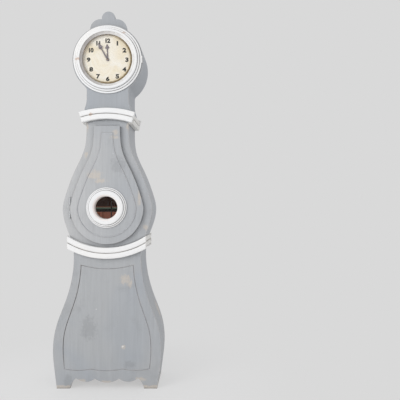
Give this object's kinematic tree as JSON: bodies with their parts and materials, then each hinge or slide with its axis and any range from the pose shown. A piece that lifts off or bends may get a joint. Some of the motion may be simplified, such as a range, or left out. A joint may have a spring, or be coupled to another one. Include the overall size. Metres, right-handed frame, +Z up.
{
  "type": "longcase clock",
  "caption": "Free-standing pear-shaped longcase clock with a round head, scalloped feet, an opening bezel over the dial and a trunk door with a round window.",
  "frame": {"origin": "on the floor, at the middle of the clock's whole width and depth", "axes": "+Z up, the front faces -Y, +X to the right of someone facing the front"},
  "size_m": [0.572, 0.2974, 2.008],
  "materials": {
    "case": "worn matte blue-grey paint",
    "white_moulding": "worn white paint",
    "bare_wood": "bare aged pine",
    "dial": "aged cream paint",
    "glass": "clear",
    "retainer": "bare wood",
    "hand": "dark grey",
    "brass": "aged",
    "steel": "dark forged",
    "train_wheel": "aged"
  },
  "bodies": {
    "case": {"base_front_board": "case", "trunk_front_board": "case", "head_front_board": "case", "base_back_board": "case", "trunk_back_board": "case", "head_back_board": "case", "base_side_left": "case", "base_side_right": "case", "trunk_side_left": "case", "trunk_side_right": "case", "head_side_left": "case", "head_side_right": "case", "crest": "case", "neck_moulding_front": "white_moulding", "neck_moulding_back": "white_moulding", "neck_moulding_left": "white_moulding", "neck_moulding_right": "white_moulding", "waist_moulding_front": "white_moulding", "waist_moulding_back": "white_moulding", "waist_moulding_left": "white_moulding", "waist_moulding_right": "white_moulding", "bottom_board": "bare_wood", "back_batten": "bare_wood", "seat_board": "bare_wood", "seat_board_cleats": "bare_wood", "dial_plate": "dial", "movement_front_plate": "brass", "movement_back_plate": "brass", "movement_pillars": "brass", "back_cock": "steel", "minute_wheel_stud": "steel", "door_hinge_fixed_leaf": "steel", "door_hinge_pin": "steel", "bezel_hinge_fixed_leaf": "steel", "bezel_hinge_pin": "steel"},
    "trunk_door": {"door_panel": "case", "window_ring": "white_moulding", "window_glass": "glass", "window_glass_retainer": "retainer", "door_hinge_moving_leaf": "steel"},
    "bezel_door": {"bezel_ring": "white_moulding", "bezel_glass": "glass", "bezel_glass_retainer": "retainer", "bezel_hinge_moving_leaf": "steel"},
    "minute_work": {"minute_hand": "hand", "hand_nut": "brass", "cannon_pinion": "steel", "centre_wheel": "train_wheel"},
    "hour_work": {"hour_hand": "hand", "hour_wheel": "brass"},
    "minute_wheel": {"minute_wheel": "brass"},
    "great_wheel": {"great_wheel": "train_wheel"},
    "line_drum": {"line_drum": "brass"},
    "third_wheel": {"third_wheel": "train_wheel"},
    "escape_wheel": {"escape_wheel": "train_wheel"},
    "pendulum": {"anchor_and_crutch": "steel", "pendulum_rod": "steel", "pendulum_bob": "brass", "rating_nut": "brass"}
  },
  "joints": [
    {"name": "trunk_door_swing", "type": "hinge", "parent": "case", "child": "trunk_door", "pos_m": [-0.197, -0.11175, 0.955], "axis": [0, 0, -1], "range_deg": [0, 110]},
    {"name": "bezel_swing", "type": "hinge", "parent": "case", "child": "bezel_door", "pos_m": [0.1815, -0.11175, 1.742], "axis": [0, 0, 1], "range_deg": [0, 110]},
    {"name": "minute_turn", "type": "hinge", "parent": "case", "child": "minute_work", "pos_m": [0, -0.10735, 1.742], "axis": [0, 1, 0], "continuous": true},
    {"name": "hour_turn", "type": "hinge", "parent": "case", "child": "hour_work", "pos_m": [0, -0.10735, 1.742], "axis": [0, 1, 0], "continuous": true},
    {"name": "minute_wheel_turn", "type": "hinge", "parent": "case", "child": "minute_wheel", "pos_m": [0.01414, -0.10735, 1.75614], "axis": [0, 1, 0], "continuous": true},
    {"name": "great_wheel_turn", "type": "hinge", "parent": "case", "child": "great_wheel", "pos_m": [0, -0.10735, 1.6822], "axis": [0, 1, 0], "continuous": true},
    {"name": "winding_turn", "type": "hinge", "parent": "great_wheel", "child": "line_drum", "pos_m": [0, -0.10735, 1.6822], "axis": [0, 1, 0], "continuous": true},
    {"name": "third_wheel_turn", "type": "hinge", "parent": "case", "child": "third_wheel", "pos_m": [0, -0.10735, 1.776], "axis": [0, 1, 0], "continuous": true},
    {"name": "escape_turn", "type": "hinge", "parent": "case", "child": "escape_wheel", "pos_m": [0, -0.10735, 1.8084], "axis": [0, 1, 0], "continuous": true},
    {"name": "pendulum_swing", "type": "hinge", "parent": "case", "child": "pendulum", "pos_m": [0, -0.10735, 1.83668], "axis": [0, 1, 0], "range_deg": [-2.5, 2.5]}
  ],
  "couplings": [
    {"joint": "hour_turn", "follows": "minute_turn", "ratio": 0.083333},
    {"joint": "minute_wheel_turn", "follows": "minute_turn", "ratio": -0.33333},
    {"joint": "great_wheel_turn", "follows": "minute_turn", "ratio": -0.083333},
    {"joint": "third_wheel_turn", "follows": "minute_turn", "ratio": -7.5},
    {"joint": "escape_turn", "follows": "minute_turn", "ratio": 60}
  ]
}
